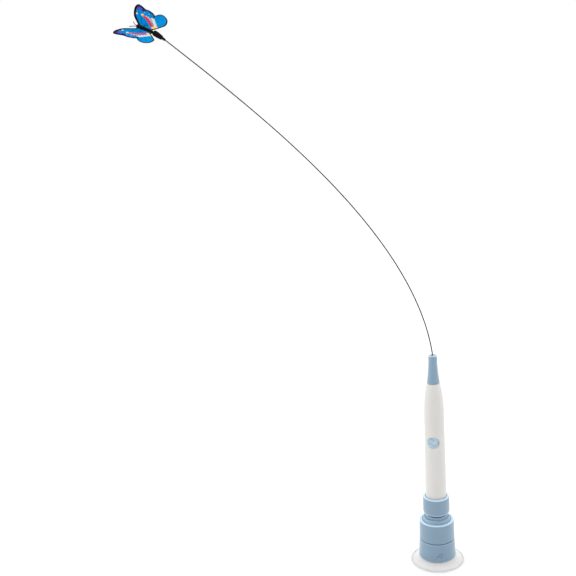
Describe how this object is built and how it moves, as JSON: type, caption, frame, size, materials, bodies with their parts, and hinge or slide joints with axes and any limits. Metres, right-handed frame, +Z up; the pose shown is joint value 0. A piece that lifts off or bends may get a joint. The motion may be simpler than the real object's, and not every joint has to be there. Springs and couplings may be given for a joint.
{
  "type": "rotating cat toy",
  "caption": "Motor-driven cat teaser: suction base with twist lock and ball joint, a cup that holds a battery handle, and a turning nose with a springy wire and butterfly.",
  "frame": {"origin": "middle of the suction pad's flat underside, on the surface the toy stands on", "axes": "+Z up along the handle, -Y the side with the button, -X the side the wire leans out to"},
  "size_m": [0.4009, 0.08, 0.7277],
  "materials": {
    "blue_plastic": "satin moulded plastic, grey blue",
    "white_plastic": "satin moulded plastic, warm white",
    "button_blue": "satin moulded plastic, light blue",
    "clear_vinyl": "soft translucent vinyl",
    "black_rubber": "soft black rubber",
    "wing_film": "thin printed film",
    "nylon": "natural nylon",
    "steel": "plain steel",
    "brass": "turned brass",
    "board": "green solder mask",
    "battery_wrap": null
  },
  "bodies": {
    "base": {"suction_cup": "clear_vinyl", "base_ring": "blue_plastic"},
    "stud": {"suction_stud": "nylon", "cross_pin": "steel"},
    "collar": {"lock_collar": "blue_plastic"},
    "liner": {"seat_liner": "nylon"},
    "ball": {"ball_stud": "blue_plastic", "ball_washer": "nylon", "spring_washer": "steel", "clamp_screw": "steel", "wand_cup": "blue_plastic", "cup_screw": "steel"},
    "wand": {"handle_tube": "white_plastic", "end_cap": "white_plastic", "charge_socket": "steel", "battery": "battery_wrap", "inner_frame": "nylon", "circuit_board": "board", "tact_switch": "steel", "motor_can": "steel", "gearbox_base": "nylon", "gearbox_top": "nylon", "gearbox_post_left": "steel", "gearbox_post_right": "steel", "side_axle": "steel", "nose_bush": "brass"},
    "button": {"button_cap": "button_blue"},
    "rotor": {"motor_pinion": "brass"},
    "gear_low": {"side_gear_low": "nylon"},
    "gear_mid": {"centre_gear": "nylon"},
    "gear_high": {"side_gear_high": "nylon"},
    "head": {"output_gear": "nylon", "output_shaft": "steel", "nose_cone": "blue_plastic", "wire_ferrule": "steel", "steel_wire": "steel", "wire_sleeve": "black_rubber", "tail_bead": "black_rubber", "butterfly_body": "black_rubber", "wing_left": "wing_film", "wing_right": "wing_film", "antenna_left": "black_rubber", "antenna_right": "black_rubber"}
  },
  "joints": [
    {"name": "collar_twist", "type": "hinge", "parent": "base", "child": "collar", "pos_m": [0, 0, 0.0335], "axis": [0, 0, 1], "range_deg": [0, 60]},
    {"name": "stud_lift", "type": "slide", "parent": "base", "child": "stud", "axis": [0, 0, 1], "range_m": [0, 0.0025], "deforming": ["suction_cup"]},
    {"name": "ball_swivel", "type": "hinge", "parent": "collar", "child": "liner", "pos_m": [0, 0, 0.0645], "axis": [0, 0, 1], "continuous": true},
    {"name": "ball_tilt", "type": "hinge", "parent": "liner", "child": "ball", "pos_m": [0, 0, 0.0645], "axis": [0, 1, 0], "range_deg": [-22, 22]},
    {"name": "wand_lift", "type": "slide", "parent": "ball", "child": "wand", "axis": [0, 0, 1], "range_m": [0, 0.04]},
    {"name": "button_press", "type": "slide", "parent": "wand", "child": "button", "axis": [0, 1, 0], "range_m": [0, 0.0006], "stiffness_N_per_m": 800},
    {"name": "wand_spin", "type": "hinge", "parent": "wand", "child": "head", "pos_m": [0, 0, 0.2494], "axis": [0, 0, 1], "continuous": true},
    {"name": "gear_high_spin", "type": "hinge", "parent": "wand", "child": "gear_high", "pos_m": [0, 0.006, 0.2088], "axis": [0, 0, 1], "continuous": true},
    {"name": "gear_mid_spin", "type": "hinge", "parent": "wand", "child": "gear_mid", "pos_m": [0, 0, 0.2069], "axis": [0, 0, 1], "continuous": true},
    {"name": "gear_low_spin", "type": "hinge", "parent": "wand", "child": "gear_low", "pos_m": [0, 0.006, 0.205], "axis": [0, 0, 1], "continuous": true},
    {"name": "motor_spin", "type": "hinge", "parent": "wand", "child": "rotor", "pos_m": [0, 0, 0.205], "axis": [0, 0, 1], "continuous": true}
  ],
  "couplings": [
    {"joint": "collar_twist", "follows": "stud_lift", "rad_per_m": 418.88},
    {"joint": "gear_high_spin", "follows": "wand_spin", "ratio": -2.3333},
    {"joint": "gear_mid_spin", "follows": "wand_spin", "ratio": 5.4444},
    {"joint": "gear_low_spin", "follows": "wand_spin", "ratio": -12.704},
    {"joint": "motor_spin", "follows": "wand_spin", "ratio": 29.642}
  ]
}
